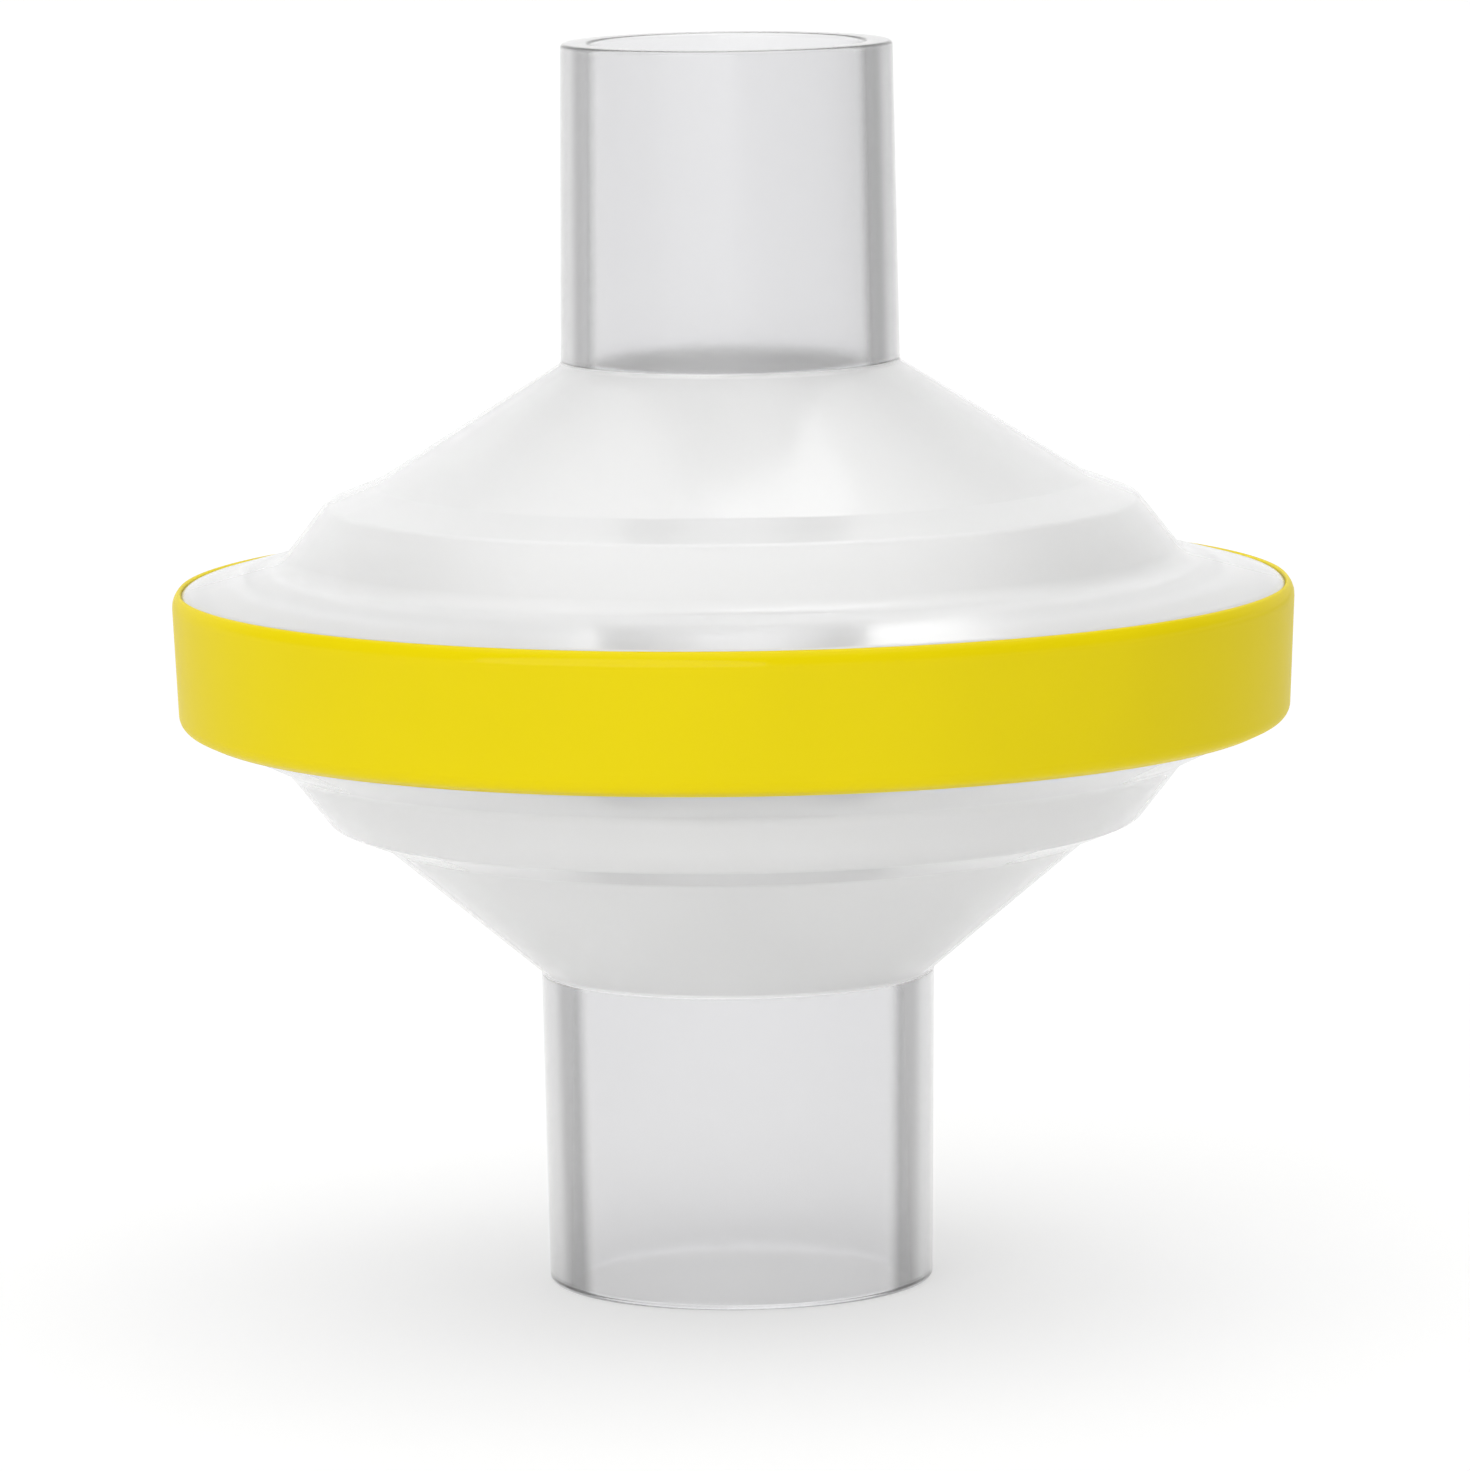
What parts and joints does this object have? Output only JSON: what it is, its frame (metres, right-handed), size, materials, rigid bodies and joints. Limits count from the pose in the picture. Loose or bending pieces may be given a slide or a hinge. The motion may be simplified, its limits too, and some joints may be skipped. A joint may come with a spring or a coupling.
{
  "type": "breathing circuit filter",
  "caption": "Round clear breathing circuit filter with a 22 mm male cone above, a 22 mm socket below, a white filter pad inside and a glossy yellow band round the rim.",
  "frame": {"origin": "centre of the machine-side port's mouth, on which the filter stands", "axes": "+Z along the common axis of both ports, towards the patient-side port"},
  "size_m": [0.0742, 0.0742, 0.0823],
  "materials": {
    "clear_plastic": "clear, smooth moulded styrene copolymer",
    "filter_felt": "white electrostatic fibre felt",
    "yellow_film": "glossy yellow printed film"
  },
  "bodies": {
    "root": {"patient_side_housing": "clear_plastic", "machine_side_housing": "clear_plastic", "filter_medium": "filter_felt", "colour_band": "yellow_film"}
  },
  "joints": []
}
